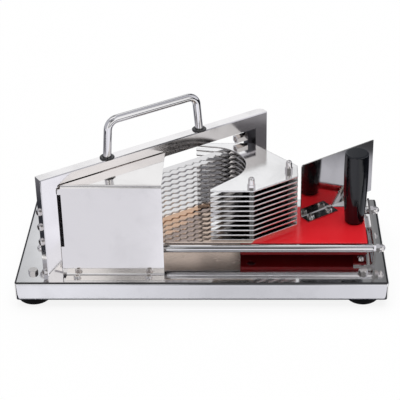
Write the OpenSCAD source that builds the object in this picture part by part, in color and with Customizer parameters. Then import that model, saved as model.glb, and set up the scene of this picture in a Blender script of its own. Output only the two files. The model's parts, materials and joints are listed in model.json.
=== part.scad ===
// Hand-pushed tomato slicer: a red carriage slides on two rails and pushes
// a notched stack of plates between the scalloped blades of a slanted frame.
// Millimetres, +Z up. Origin: middle of the base's footprint, on the table.

/* [Base] */
// Length of the base pan, left to right
base_l = 430; // [400:1:470]
// Depth of the base pan, front to back
base_w = 194; // [184:1:219]
// Height of the pan's top face above the table
deck_z = 33; // [29:1:42]
// Height of the pan's skirt
skirt_h = 22; // [16:1:26]
// Thickness of the pan's sheet
pan_t = 1.5; // [1:0.1:2.5]
// Outer radius of the pan's folded top edges
pan_bend = 3; // [2.6:0.2:5]
// Radius of the pan's upright corners
pan_corner = 5; // [3:0.5:10]
// Distance of a left foot's centre from the pan's left end
foot_inset_left = 19.5; // [19.5:0.5:24]
// Distance of a right foot's centre from the pan's right end
foot_inset_right = 28.5; // [20:0.5:40]
// Distance of a foot's centre from the pan's front or back edge
foot_inset_y = 24; // [20:1:28]
// Diameter of a rubber foot at the pan
foot_d = 30; // [26:1:33]
// Diameter of a rubber foot at the table
foot_tip_d = 38.6; // [30:0.2:39]

/* [Blade frame] */
// Distance of the frame's front left corner from the pan's left end
frame_inset_x = 39.5; // [36:0.5:48]
// Distance of the frame's front left corner from the pan's front edge
frame_inset_y = 8; // [6:0.5:12]
// Distance of the frame's back corner from the pan's back edge
frame_rear_gap = 2.6; // [2:0.2:8]
// Slant of the frame, seen from above
frame_angle = 34.4; // [32:0.2:36]
// Room between the top blade and the frame's top bar
head_room = 22.85; // [20:0.05:40]
// Thickness of the frame's bars
frame_t = 13; // [11:0.5:16]
// Width of the left post
left_post_w = 18.5; // [17.5:0.5:24]
// Width of the right post
right_post_w = 17; // [14:0.5:22]
// Height of the top bar
top_bar_h = 18; // [14:0.5:20]
// Radius of the right post's back edge
frame_corner = 8; // [3:0.5:10]
// Width of the bevel on the frame's front edges
frame_bevel = 1; // [0.5:0.1:2]

/* [Blades] */
// Number of blades
blade_count = 10; // [8:1:10]
// Distance from blade to blade, which is the thickness of a slice
slice_t = 6.5; // [6:0.1:6.8]
// Thickness of a blade
blade_t = 0.8; // [0.5:0.1:1.2]
// Width of a blade from scallop tip to back
blade_w = 12; // [11:0.5:12.5]
// Length of one scallop along the edge
scallop_pitch = 10.4; // [8:0.2:13]
// Depth of the scallops
scallop_depth = 2.6; // [1.5:0.1:3.2]
// Width of the upright bars that hold the blades' ends
holder_w = 9; // [8:0.5:12]
// Distance of these bars behind the frame's front face
holder_set = 5; // [4.5:0.5:6]
// Depth that a blade's end reaches into its bar
blade_grip = 7; // [6:0.5:7.5]
// Diameter of the pins that hold the blades' ends
pin_d = 3; // [2:0.2:4]

/* [Carry handle] */
// Diameter of the handle's rod
handle_d = 9.4; // [8:0.2:11]
// Distance between the feet of the handle
handle_span = 124; // [100:0.5:150]
// Shift of the handle's middle from the frame's middle, to the left
handle_shift = 3; // [0:0.2:10]
// Height of the handle's rod axis above the frame
handle_h = 45; // [36:1:60]
// Lean of the handle's legs
handle_lean = 5; // [0:0.5:10]
// Bend radius of the rod's axis
handle_bend = 12; // [10:0.5:18]
// Diameter of the handle's collars
collar_d = 17; // [14:0.5:18]

/* [Entry guard] */
// Thickness of the guards' sheet
sheet_t = 1.5; // [1:0.1:2]
// Distance of the guard's front from the pan's front edge
guard_inset = 17.5; // [15:0.5:22]
// Gap between the left post and the guard
guard_gap = 4.4; // [2:0.2:6]
// Length of the guard, left to right
guard_l = 112.5; // [90:0.5:120]
// Depth of the guard's foot
guard_foot = 12.5; // [11:0.5:14]
// Distance of the guard's cover below the frame's top
guard_drop = 12; // [9:0.5:14]
// Gap between the guard's cover and the frame's front
cover_gap = 1.6; // [0.6:0.2:3]
// Height of the guard's lower tab, which reaches to the left post
tab_low = 39; // [20:1:50]
// Height of the guard's upper tab
tab_high = 11; // [8:1:20]

/* [Rails] */
// Diameter of a rail
rail_d = 10; // [8:0.5:11]
// Distance between the rails' axes
rail_pitch = 87.2; // [82:0.2:92]
// Distance of the rails' middle from the pan's front edge
rail_mid = 90.8; // [88:0.2:96]
// Height of the rails' axes above the pan
rail_z = 18.5; // [17.5:0.5:19]
// Distance of the right bracket's outer face from the pan's right end
right_bracket_inset = 13.5; // [13:0.5:20]
// Distance of the left bracket's outer face from the pan's left end
left_bracket_inset = 34.5; // [30:0.5:36]
// Thickness of the rail brackets
bracket_t = 2.5; // [1.5:0.1:3]
// Inner radius of the rail brackets' fold
bracket_bend = 4; // [2:0.5:5]
// Height of the rail brackets
bracket_h = 29; // [27:0.5:34]
// Length of the rail brackets' feet
bracket_foot = 23; // [20:0.5:28]
// Width of a bracket beyond a rail's axis
bracket_margin = 11; // [9:0.5:14]

/* [Carriage] */
// Length of the red carriage
slab_l = 149; // [145:1:155]
// Height of the carriage's underside above the pan
slab_low = 8.5; // [7:0.5:9.5]
// Cover of the carriage over the top of the rails
slab_lip = 1; // [0.6:0.1:2]
// Distance from a rail's axis to the carriage's side face
slab_inset = 1.2; // [0.6:0.1:2.5]
// Radius of the carriage's upper edges
slab_edge = 1.4; // [0.5:0.1:2]
// Gap between the carriage and the right bracket at rest
rest_gap = 6; // [5:0.5:10]
// Way that the carriage slides to the left
travel = 125; // [110:1:126]
// Radial gap between a rail and its groove
rail_clear = 0.3; // [0.2:0.05:0.4]

/* [Pusher] */
// Thickness of a pusher plate
plate_t = 1.8; // [1.4:0.1:2.4]
// Thickness of the tray under the pusher plates
tray_t = 2; // [1.5:0.1:3]
// Distance of the tray's back edge from the pan's front edge
tray_rear = 150; // [145:1:154]
// Distance of the plates' front edge behind the carriage's side face
plate_inset = 2.4; // [1:0.2:5]
// Distance of the plates' nose from the carriage's right end
nose_back = 81.5; // [79:0.5:88]
// Length of the plates' slanted front edge, left to right
nose_run = 51; // [46:0.5:56]
// Width of the plates' nose
nose_w = 25; // [20:0.5:28]
// Slant of the plates' back edge
back_angle = 47.5; // [44:0.5:52]
// Gap between the plates' back edge and the right post
back_gap = 3; // [2.5:0.5:6]
// Radius of the round notch that takes the tomato
notch_r = 45; // [40:0.5:46]
// Distance of the notch's bottom from the nose
notch_bed = 60.5; // [58:0.5:66]
// Slant of the notch's front flank
front_flank = 45; // [42:0.5:48]
// Slant of the notch's back flank
back_flank = 10; // [8:0.5:11]
// Distance of the front arm's tip from the nose
front_arm = 101.5; // [95:0.5:102]
// Distance of the back arm's tip from the nose
back_arm = 121; // [110:0.5:124]
// Outer diameter of the spacers between the plates
spacer_d = 8; // [7:0.5:10]

/* [Grip and hand guard] */
// Diameter of the grip at its swell
grip_d = 28.8; // [25:0.2:32]
// Diameter of the grip at its top
grip_top_d = 28; // [24:0.2:31]
// Diameter of the grip at the carriage
grip_foot_d = 22.4; // [19:0.2:26]
// Height of the grip
grip_h = 92.5; // [80:0.5:110]
// Distance of the grip's axis from the carriage's right end
grip_inset = 12.8; // [12.6:0.2:20]
// Distance of the grip's axis behind the rails' middle
grip_shift = 8; // [0:0.5:12]
// Length of the hand guard
shield_l = 110.5; // [90:0.5:112]
// Height of the hand guard's top above the carriage
shield_h = 71.4; // [60:0.2:85]
// Slant of the hand guard, seen from above
shield_angle = 36; // [32:0.5:40]
// Length of the hand guard's foot
shield_foot_l = 46; // [40:1:46]
// Width of the hand guard's foot
shield_foot_w = 16; // [14:0.5:18]
// Height of the hand guard's free lower edge above the carriage
shield_lift = 0.8; // [0.6:0.2:8]
// Distance of the hand guard's left edge from the plates' nose
shield_gap = 4.5; // [3:0.5:8]
// Distance of the hand guard's left edge behind the rails' middle
shield_shift = 16.5; // [12:0.5:17]

/* [Fasteners] */
// Thread of the large bolts
bolt_d = 6; // [5:0.5:6]
// Width across flats of the large bolts and nuts
bolt_af = 10; // [9:0.5:11]
// Thread of the small screws
screw_d = 5; // [4:0.5:5]
// Head diameter of the small screws
screw_head_d = 8.5; // [7.5:0.5:9.5]
// Height of the cap nuts on the rails
cap_nut_h = 12; // [10:0.5:13]
// Width across flats of the cap nuts on the pusher's bolts
stack_nut_af = 8; // [8:0.5:10]
// Height of the cap nuts on the pusher's bolts
stack_nut_h = 14; // [10:0.5:16]
// Thread of the bolt in the grip
grip_bolt_d = 8; // [6:0.5:9]
// Room around a fastener in its hole, on the diameter
hole_fit = 0.3; // [0.1:0.1:0.5]

/* [Hidden] */
$fn = 64;
eps = 0.01;
bolt_head_h = 4;
screw_head_h = 3;
nut_h = 5;
cap_t = 4;
stud_gap = 1;
dome_step = 0.3;
washer_t = 1.6;
slot_fit = 0.2;
bend_in = 2;
screw_over = 6;
board_screw_in = 8;
fold_lap = 10;
seam_h = 5;
seam_in = [8, 2];
tab_foot = 4;
tab_gap = 0.6;

left_x = -base_l / 2;
front_y = -base_w / 2;
foot_h = deck_z - pan_t;
foot_floor = 14;
foot_edge = 1.5;

// Heights above the pan of the carriage, the lowest plate, the blades and the frame
slab_top = rail_z + rail_d / 2 + slab_lip;
plate_z0 = slab_top + tray_t;
blade_z0 = plate_z0 + (slice_t + plate_t) / 2;
blade_z1 = blade_z0 + (blade_count - 1) * slice_t;
open_h = blade_z1 + head_room;
frame_h = open_h + top_bar_h;
guard_h = frame_h - guard_drop;

// The frame's own directions: x along the bars, y through them from the front
frame_x = left_x + frame_inset_x;
frame_y = front_y + frame_inset_y;
frame_len = (base_w - frame_inset_y - frame_rear_gap - frame_t * cos(frame_angle)) / sin(frame_angle);
open_x0 = left_post_w;
open_x1 = frame_len - right_post_w;
holder_d = frame_t - holder_set;
holder_gap = 0.4;
holder_x0 = open_x0 + holder_gap;
holder_x1 = open_x1 - holder_w;
holder_low = 10;
holder_high = open_h - 4;
pin_y = holder_set + holder_d / 2;
pin_in = blade_grip / 2;
pin_over = 5;
tension_reach = holder_w - pin_in - pin_d / 2 - 1;
holder_nut_l = 15;
stud_back = 4;
stud_in = 10;
post_bolt_in = 14;
left_bolt_in = 6;

rail_y = front_y + rail_mid;
rail_front = rail_y - rail_pitch / 2;
rail_back = rail_y + rail_pitch / 2;
rail_x0 = left_x + left_bracket_inset + bracket_t;
rail_x1 = -left_x - right_bracket_inset - bracket_t;
stud_over = bracket_t + cap_nut_h - cap_t - stud_gap;

slab_x1 = rail_x1 - rest_gap;
slab_x0 = slab_x1 - slab_l;
slab_y0 = rail_front + slab_inset;
slab_y1 = rail_back - slab_inset;
slab_h = slab_top - slab_low;
slab_corner = 3;
sink_h = bolt_head_h + 1;

plate_count = blade_count + 1;
stack_top = plate_z0 + blade_count * slice_t + plate_t;
pin_low = blade_z0 - pin_over;
stack_bolt_l = stack_top - slab_low - sink_h + stack_nut_h - cap_t - stud_gap;

// A blade's edge is a wave of equal arcs that bulge and dip in turn
wave_half = 2 * atan(scallop_depth / 2 / (scallop_pitch / 4));
wave_r = scallop_pitch / 4 / sin(wave_half);
blade_x0 = holder_x0 + holder_w - blade_grip;
blade_x1 = holder_x1 + blade_grip;
blade_back = frame_t - 0.5;
edge_margin = 3;
edge_x0 = holder_x0 + holder_w + edge_margin;
edge_y = blade_back - blade_w + scallop_depth / 2;
scallops = floor((holder_x1 - edge_margin - edge_x0) / scallop_pitch);

nose_x = slab_x1 - nose_back;
front_corner_x = nose_x - nose_run;
plate_y0 = slab_y0 + plate_inset;
plate_y1 = frame_y + open_x1 * sin(frame_angle) - back_gap;
nose_y0 = plate_y0 + nose_run * tan(frame_angle);
nose_y1 = nose_y0 + nose_w;
back_corner_x = nose_x - (plate_y1 - nose_y1) / tan(back_angle);
notch_x = nose_x - notch_bed - notch_r;
notch_shift = 16;
notch_y = nose_y0 + nose_w / 2 + notch_shift;
front_bolt_in = [3.5, 7.2];
front_bolt = [front_corner_x - front_bolt_in[0], plate_y0 + front_bolt_in[1]];
nose_bolt_in = 10.5;
nose_bolt = [nose_x - nose_bolt_in, nose_y0 + nose_w / 2];

shield_x = nose_x + shield_gap;
shield_y = rail_y + shield_shift;
grip_x = slab_x1 - grip_inset;
grip_y = rail_y + grip_shift;
grip_bolt_in = 25;
grip_swell = 0.73 * grip_h;
grip_rim = 1.8;
grip_rings = 10;
tray_end_gap = 3;

guard_x0 = frame_x + left_post_w * cos(frame_angle) + guard_gap;
guard_x1 = guard_x0 + guard_l;
guard_y = front_y + guard_inset;
guard_screw_in = [13, 17.5];
guard_screws_x = [guard_x0 + guard_screw_in[0], guard_x1 - guard_screw_in[1]];
guard_screw_y = guard_y - guard_foot + screw_head_d / 2 + 1;

foot_points = [for (x = [left_x + foot_inset_left, -left_x - foot_inset_right], s = [-1, 1])
  [x, s * (base_w / 2 - foot_inset_y)]];
bracket_bolt_in = 13;
bracket_bolt_y = rail_pitch / 2 - 3;
bracket_points = [for (x = [rail_x0 + bracket_bolt_in, rail_x1 - bracket_bolt_in], s = [-1, 1])
  [x, rail_y + s * bracket_bolt_y]];
post_points = [[left_post_w - left_bolt_in, frame_t / 2], [frame_len - right_post_w / 2, frame_t / 2]];
tension_z = [for (k = [2.5, 5.5, 8.5]) blade_z0 + k * slice_t];
lock_z = 8;
holder_bolt_in = 7;
holder_bolt_up = 10.85;
holder_bolt_z = [holder_low + holder_bolt_in, blade_z1 + holder_bolt_up];
handle_mid = frame_len / 2 - handle_shift;
handle_points = [for (s = [-1, 1]) [handle_mid + s * handle_span / 2, frame_t / 2]];
handle_screw_in = 12;
bend_z = handle_h - handle_bend;
leg_rise = bend_z + handle_bend * sin(handle_lean);
leg_l = leg_rise / cos(handle_lean);
bend_x = handle_span / 2 - leg_rise * tan(handle_lean) - handle_bend * cos(handle_lean);
// The rod's straight top is a hair thinner than its bends and reaches into them
rod_step = 0.04;
rod_lap = 0.4;
shield_screws = [for (u = [0.2, 0.8]) [u * shield_foot_l, -shield_foot_w * 0.55]];

steel = "gainsboro";
dark_steel = "dimgray";
red = "crimson";
black = "#202022";

BLADES = [for (i = [1 : blade_count]) str("slicing_blade_", i)];
PLATES = [for (i = [1 : plate_count]) str("pusher_plate_", i)];

// Places its children on the pan's top face
module on_deck() {
  translate([0, 0, deck_z]) children();
}

// Places its children in the blade frame's own directions
module in_frame() {
  translate([frame_x, frame_y, deck_z]) rotate([0, 0, frame_angle]) children();
}

// Places its children on the carriage in the hand guard's own directions
module in_shield() {
  translate([shield_x, shield_y, deck_z + slab_top]) rotate([0, 0, shield_angle]) children();
}

// Lays a side view, drawn as x and z, through a thickness from the front
module side_extrude(depth) {
  translate([0, depth, 0]) rotate([90, 0, 0]) linear_extrude(depth) children();
}

// Rectangle about the origin with four round corners
module round_rect(l, w, r) {
  square([l - 2 * r, w], center = true);
  square([l, w - 2 * r], center = true);
  for (sx = [-1, 1], sy = [-1, 1])
    translate([sx * (l / 2 - r), sy * (w / 2 - r)]) circle(r);
}

// Rectangle from the origin with its corner at the origin rounded
module round_corner(l, h, r) {
  translate([r, 0]) square([l - r, h]);
  translate([0, r]) square([l, h - r]);
  translate([r, r]) circle(r);
}

// Section of a folded sheet with both legs starting at the origin
module fold_section(l, h, t, r) {
  difference() {
    round_corner(l, h, r + t);
    translate([t, t]) round_corner(l, h, r);
  }
}

// Box with round upright corners and folded top edges, its top at z = 0
module pan_block(l, w, h, corner, bend) {
  intersection() {
    translate([0, 0, -h]) linear_extrude(h) round_rect(l, w, corner);
    translate([0, w / 2, 0]) rotate([90, 0, 0]) linear_extrude(w) pan_section(l, h, bend);
    translate([-l / 2, 0, 0]) rotate([90, 0, 90]) linear_extrude(l) pan_section(w, h, bend);
  }
}

// End view of a pan with its two top edges rounded
module pan_section(l, h, bend) {
  translate([-l / 2, -h]) square([l, h - bend]);
  translate([-l / 2 + bend, -bend - eps]) square([l - 2 * bend, bend + eps]);
  for (s = [-1, 1]) translate([s * (l / 2 - bend), -bend]) circle(bend);
}

// Hexagonal prism standing on z = 0
module hex(af, h) {
  cylinder(d = af / cos(30), h = h, $fn = 6);
}

// Hexagon bolt with the underside of its head at z = 0 and its shank below
module hex_bolt(d, af, l) {
  intersection() {
    hex(af, bolt_head_h);
    cylinder(d1 = af + 5, d2 = af, h = bolt_head_h);
  }
  translate([0, 0, -l]) cylinder(d = d, h = l + eps);
}

// Round-headed screw with the underside of its head at z = 0 and its shank below
module pan_screw(d, head_d, l) {
  difference() {
    union() {
      cylinder(d = head_d, h = screw_head_h / 2);
      translate([0, 0, screw_head_h / 2]) cylinder(d1 = head_d, d2 = head_d * 0.7, h = screw_head_h / 2);
    }
    translate([0, 0, screw_head_h * 0.4]) hex(head_d * 0.4, screw_head_h);
  }
  translate([0, 0, -l]) cylinder(d = d, h = l + eps);
}

// Plain nut with its bore along z
module nut(d, af, h) {
  difference() {
    hex(af, h);
    translate([0, 0, -eps]) cylinder(d = d, h = h + 2 * eps);
  }
}

// Domed cap nut that stands on z = 0
module cap_nut(d, af, h) {
  dome_r = af / 2 - dome_step;
  difference() {
    union() {
      intersection() {
        hex(af, nut_h);
        cylinder(d1 = af + 2 * nut_h + dome_step, d2 = af + dome_step, h = nut_h);
      }
      cylinder(r = dome_r, h = h - dome_r);
      translate([0, 0, h - dome_r]) sphere(dome_r);
    }
    translate([0, 0, -eps]) cylinder(d = d + hole_fit, h = h - cap_t);
  }
}

// The base: pan, feet and their bolts

module base_pan() {
  color(steel) on_deck() difference() {
    pan_block(base_l, base_w, skirt_h, pan_corner, pan_bend);
    translate([0, 0, -pan_t])
      pan_block(base_l - 2 * pan_t, base_w - 2 * pan_t, skirt_h, pan_corner - pan_t, pan_bend - pan_t);
    for (p = foot_points) deck_hole(p, bolt_d);
    for (p = bracket_points) deck_hole(p, screw_d);
    for (x = guard_screws_x) deck_hole([x, guard_screw_y], screw_d);
    translate([0, 0, -deck_z]) in_frame() for (p = post_points) deck_hole(p, bolt_d);
  }
}

module deck_hole(p, d) {
  translate([p[0], p[1], -pan_t - 1]) cylinder(d = d + hole_fit, h = pan_t + 2);
}

module rubber_feet() {
  color(black) for (p = foot_points) translate(p) difference() {
    union() {
      cylinder(d1 = foot_tip_d - 2 * foot_edge, d2 = foot_tip_d, h = foot_edge);
      translate([0, 0, foot_edge]) cylinder(d1 = foot_tip_d, d2 = foot_d, h = foot_h - foot_edge);
    }
    translate([0, 0, -eps]) cylinder(d = bolt_af + 6, h = foot_floor + eps);
    cylinder(d = bolt_d + hole_fit, h = foot_h + 1);
  }
}

module foot_bolts() {
  color(steel) on_deck() for (p = foot_points) translate(p)
    hex_bolt(bolt_d, bolt_af, deck_z - foot_floor + nut_h + 1);
}

module foot_nuts() {
  color(steel) for (p = foot_points) translate([p[0], p[1], foot_floor - nut_h])
    nut(bolt_d + hole_fit, bolt_af, nut_h);
}

// The blade frame: an upright portal that stands slantwise on the pan

module blade_frame() {
  color(steel) in_frame() difference() {
    side_extrude(frame_t) portal_outline();
    translate([-1, 0, frame_h]) along_frame() bevel_cut(frame_len + 2);
    translate([0, 0, -1]) bevel_cut(frame_h + 2);
    translate([frame_len, 0, -1]) mirror([1, 0, 0]) bevel_cut(frame_h + 2);
    translate([frame_len - frame_corner, frame_t - frame_corner, -1])
      linear_extrude(frame_h + 2) difference() {
        square(frame_corner + 1);
        circle(frame_corner);
      }
    for (p = post_points) translate([p[0], p[1], -eps]) cylinder(d = bolt_d + hole_fit, h = post_bolt_in + 2);
    for (z = tension_z) translate([-eps, pin_y, z]) along_frame()
      cylinder(d = screw_d + hole_fit, h = left_post_w + 1);
    translate([-eps, frame_t / 2, lock_z]) along_frame()
      cylinder(d = screw_d + hole_fit, h = post_points[0][0] - bolt_d / 2);
    for (z = holder_bolt_z) translate([open_x1 - 1, pin_y, z]) along_frame()
      cylinder(d = bolt_d + hole_fit, h = stud_in + 2);
    for (p = handle_points) translate([p[0], p[1], open_h - eps]) {
      cylinder(d = bolt_d + hole_fit, h = top_bar_h + 1);
      cylinder(d = bolt_af + 1, h = bolt_head_h + eps);
    }
  }
}

// Turns a cylinder's axis from z to the direction along the frame's bars
module along_frame() {
  rotate([0, 90, 0]) children();
}

module portal_outline() {
  difference() {
    square([frame_len, frame_h]);
    translate([open_x0, -eps]) square([open_x1 - open_x0, open_h + eps]);
  }
}

// Prism along z that takes a bevel off an edge at the origin
module bevel_cut(l) {
  reach = 4 * frame_bevel;
  rotate([0, 0, 45]) translate([-reach, -reach / 2, 0]) cube([reach + frame_bevel / sqrt(2), reach, l]);
}

module frame_bolts() {
  color(steel) in_frame() for (p = post_points) translate([p[0], p[1], -pan_t])
    mirror([0, 0, 1]) hex_bolt(bolt_d, bolt_af, pan_t + post_bolt_in);
}

// Upright bar with one slot for each blade and a bore for the pin.
// Its closed side is at x = 0 and its slots open towards +x.
module blade_holder() {
  slot_x = holder_w - blade_grip - slot_fit;
  slot_h = blade_t + slot_fit;
  difference() {
    translate([0, holder_set, holder_low]) cube([holder_w, holder_d, holder_high - holder_low]);
    for (i = [0 : blade_count - 1]) translate([slot_x, holder_set - 1, blade_z0 + i * slice_t - slot_h / 2])
      cube([blade_grip + slot_fit + 1, holder_d + 2, slot_h]);
    translate([holder_w - pin_in, pin_y, pin_low]) cylinder(d = pin_d + hole_fit / 3, h = holder_high);
  }
}

module left_blade_holder() {
  color(dark_steel) in_frame() translate([holder_x0, 0, 0]) difference() {
    blade_holder();
    for (z = tension_z) translate([-1, pin_y, z]) along_frame()
      cylinder(d = screw_d + hole_fit / 3, h = 1 + tension_reach);
  }
}

module right_blade_holder() {
  color(dark_steel) in_frame() difference() {
    translate([open_x1, 0, 0]) mirror([1, 0, 0]) blade_holder();
    for (z = holder_bolt_z) translate([holder_x1 - 1, pin_y, z]) along_frame()
      cylinder(d = bolt_d + hole_fit, h = holder_w + 2);
  }
}

module blade_pin() {
  translate([0, pin_y, pin_low]) cylinder(d = pin_d, h = (blade_count - 1) * slice_t + 2 * pin_over);
}

module left_blade_pin() {
  color(steel) in_frame() translate([holder_x0 + holder_w - pin_in, 0, 0]) blade_pin();
}

module right_blade_pin() {
  color(steel) in_frame() translate([holder_x1 + pin_in, 0, 0]) blade_pin();
}

module tension_screws() {
  color(steel) in_frame() for (z = tension_z) translate([0, pin_y, z]) rotate([0, -90, 0])
    pan_screw(screw_d, screw_head_d, holder_x0 + tension_reach - 0.3);
}

module post_lock_screw() {
  color(steel) in_frame() translate([0, frame_t / 2, lock_z]) rotate([0, -90, 0])
    pan_screw(screw_d, screw_head_d, post_points[0][0] - bolt_d / 2 - 0.3);
}

module holder_studs() {
  color(steel) in_frame() for (z = holder_bolt_z) translate([holder_x1 - holder_nut_l + stud_back, pin_y, z])
    along_frame() cylinder(d = bolt_d, h = holder_nut_l - stud_back + holder_w + stud_in);
}

module holder_nuts() {
  color(steel) in_frame() for (z = holder_bolt_z) translate([holder_x1 - holder_nut_l, pin_y, z])
    along_frame() nut(bolt_d + hole_fit, bolt_af, holder_nut_l);
}

module blade_outline() {
  difference() {
    union() {
      translate([blade_x0, edge_y]) square([blade_x1 - blade_x0, blade_back - edge_y]);
      for (k = [0 : scallops])
        translate([edge_x0 + k * scallop_pitch, edge_y + wave_r * cos(wave_half)]) circle(wave_r);
    }
    for (k = [0 : scallops - 1])
      translate([edge_x0 + (k + 0.5) * scallop_pitch, edge_y - wave_r * cos(wave_half)]) circle(wave_r + eps);
    for (x = [blade_x0 + pin_in, blade_x1 - pin_in])
      translate([x, pin_y]) circle(d = pin_d + hole_fit / 3);
  }
}

module slicing_blade(i) {
  color("lightsteelblue") in_frame() translate([0, 0, blade_z0 + (i - 1) * slice_t - blade_t / 2])
    linear_extrude(blade_t) blade_outline();
}

// The carry handle on the frame's top bar

module carry_handle() {
  color(steel) in_frame() translate([handle_mid, frame_t / 2, frame_h]) difference() {
    union() {
      translate([bend_x + rod_lap, 0, handle_h]) rotate([0, -90, 0])
        cylinder(d = handle_d - rod_step, h = 2 * (bend_x + rod_lap));
      for (turn = [0, 180]) rotate([0, 0, turn]) half_handle();
    }
    for (s = [-1, 1]) translate([s * handle_span / 2, 0, 0]) {
      translate([-handle_d, -handle_d, -handle_d]) cube([2 * handle_d, 2 * handle_d, handle_d]);
      translate([0, 0, -eps]) cylinder(d = bolt_d + hole_fit / 3, h = handle_screw_in);
    }
  }
}

// One leg of the handle and the bend above it
module half_handle() {
  translate([bend_x, 0, bend_z]) rotate([90, 0, 0]) rotate([0, 0, handle_lean]) {
    rotate_extrude(angle = 90 - handle_lean) translate([handle_bend, 0]) circle(d = handle_d);
    translate([handle_bend, 0, 0]) rotate([90, 0, 0]) cylinder(d = handle_d, h = leg_l + 2);
  }
}

module handle_collars() {
  color(steel) in_frame() for (p = handle_points) translate([p[0], p[1], frame_h]) difference() {
    union() {
      cylinder(d = collar_d, h = washer_t / 2);
      translate([0, 0, washer_t / 2]) cylinder(d1 = collar_d, d2 = collar_d - washer_t, h = washer_t / 2);
    }
    translate([0, 0, -eps]) cylinder(d = handle_d + 0.8, h = washer_t + 1);
  }
}

module handle_screws() {
  color(steel) in_frame() for (p = handle_points) translate([p[0], p[1], open_h + bolt_head_h])
    mirror([0, 0, 1]) hex_bolt(bolt_d, bolt_af - 1, top_bar_h - bolt_head_h + handle_screw_in - 1);
}

// The entry guard: a folded sheet in front of the blades' left end

module entry_guard() {
  color(steel) on_deck() difference() {
    union() {
      translate([guard_x0, guard_y + sheet_t, 0]) rotate([90, 0, 90]) linear_extrude(guard_l)
        mirror([1, 0]) fold_section(guard_foot + sheet_t, guard_h - fold_lap, sheet_t, bend_in);
      translate([guard_x0, guard_y, guard_h]) rotate([90, 0, 90]) linear_extrude(guard_l)
        mirror([0, 1]) fold_section(2 * fold_lap, guard_h - fold_lap, sheet_t, bend_in);
      translate([guard_x0, guard_y + fold_lap, guard_h - sheet_t]) cube([guard_l, base_w, sheet_t]);
      translate([0, 0, -deck_z]) in_frame() guard_seam();
      guard_tab(tab_foot, tab_low - tab_foot);
      guard_tab(guard_h - tab_high, tab_high - tab_foot);
    }
    translate([0, 0, -deck_z]) in_frame() translate([-frame_len, -cover_gap, guard_h - seam_h - 1])
      cube([3 * frame_len, 2 * base_w, seam_h + 2]);
    for (x = guard_screws_x) translate([x, guard_screw_y, -1])
      cylinder(d = screw_d + hole_fit, h = sheet_t + 2);
  }
}

// Tab on the guard's left edge that closes the gap to the left post
module guard_tab(z, h) {
  translate([guard_x0 - guard_gap + tab_gap, guard_y, z]) cube([guard_gap - tab_gap + 1, sheet_t, h]);
}

// Edge of the guard's cover, folded down in front of the frame's top bar
module guard_seam() {
  seam_x0 = (guard_x0 - frame_x) / cos(frame_angle) + seam_in[0];
  seam_x1 = (guard_x1 - frame_x) / cos(frame_angle) - seam_in[1];
  translate([seam_x0, -cover_gap - sheet_t, guard_h - seam_h])
    cube([seam_x1 - seam_x0, sheet_t, seam_h - eps]);
}

module guard_screws() {
  color(steel) on_deck() for (x = guard_screws_x) translate([x, guard_screw_y, sheet_t])
    pan_screw(screw_d, screw_head_d, sheet_t + pan_t + screw_over);
}

// The rails and their brackets

module rail(y) {
  color(steel) on_deck() translate([0, y, rail_z]) {
    translate([rail_x0, 0, 0]) rotate([0, 90, 0]) cylinder(d = rail_d, h = rail_x1 - rail_x0);
    translate([rail_x0 - stud_over, 0, 0]) rotate([0, 90, 0])
      cylinder(d = bolt_d, h = rail_x1 - rail_x0 + 2 * stud_over);
  }
}

module front_rail() {
  rail(rail_front);
}

module rear_rail() {
  rail(rail_back);
}

// Folded bracket whose upright has its inner face at x = 0 and its foot towards +x
module rail_bracket() {
  wide = rail_pitch + 2 * bracket_margin;
  difference() {
    translate([-bracket_t, rail_y + wide / 2, 0]) rotate([90, 0, 0]) linear_extrude(wide)
      fold_section(bracket_foot + bracket_t, bracket_h, bracket_t, bracket_bend);
    for (y = [rail_front, rail_back]) translate([-bracket_t - 1, y, rail_z]) rotate([0, 90, 0])
      cylinder(d = bolt_d + hole_fit, h = bracket_t + 2);
    for (s = [-1, 1]) translate([bracket_bolt_in, rail_y + s * bracket_bolt_y, -1])
      cylinder(d = screw_d + hole_fit, h = bracket_t + 2);
  }
}

module left_rail_bracket() {
  color(steel) on_deck() translate([rail_x0, 0, 0]) rail_bracket();
}

module right_rail_bracket() {
  color(steel) on_deck() translate([rail_x1, 0, 0]) mirror([1, 0, 0]) rail_bracket();
}

module bracket_bolts() {
  color(steel) on_deck() for (p = bracket_points) translate([p[0], p[1], bracket_t])
    pan_screw(screw_d, screw_head_d, bracket_t + pan_t + screw_over);
}

module rail_nuts() {
  color(steel) on_deck() for (y = [rail_front, rail_back]) {
    translate([rail_x0 - bracket_t, y, rail_z]) rotate([0, -90, 0]) cap_nut(bolt_d, bolt_af, cap_nut_h);
    translate([rail_x1 + bracket_t, y, rail_z]) rotate([0, 90, 0]) cap_nut(bolt_d, bolt_af, cap_nut_h);
  }
}

// The carriage and what it carries

module carriage() {
  mid_x = (slab_x0 + slab_x1) / 2;
  color(red) on_deck() difference() {
    translate([mid_x, rail_y, slab_top])
      pan_block(slab_l, slab_y1 - slab_y0, slab_h, slab_corner, slab_edge);
    for (y = [rail_front, rail_back]) translate([slab_x0 - 1, y, rail_z]) rotate([0, 90, 0])
      cylinder(r = rail_d / 2 + rail_clear, h = slab_l + 2);
    for (p = [front_bolt, nose_bolt]) sunk_hole(p, screw_d, stack_nut_af);
    sunk_hole([grip_x, grip_y], grip_bolt_d, bolt_af + 3);
    translate([0, 0, -deck_z]) in_shield() for (p = shield_screws)
      translate([p[0], p[1], -board_screw_in - 1])
        cylinder(d = screw_d + hole_fit / 3, h = board_screw_in + 2);
  }
}

// Bolt hole through the carriage with a round recess for the head below
module sunk_hole(p, d, af) {
  translate([p[0], p[1], slab_low - 1]) {
    cylinder(d = d + hole_fit, h = slab_h + 2);
    cylinder(d = af / cos(30) + 1, h = sink_h + 1);
  }
}

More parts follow.
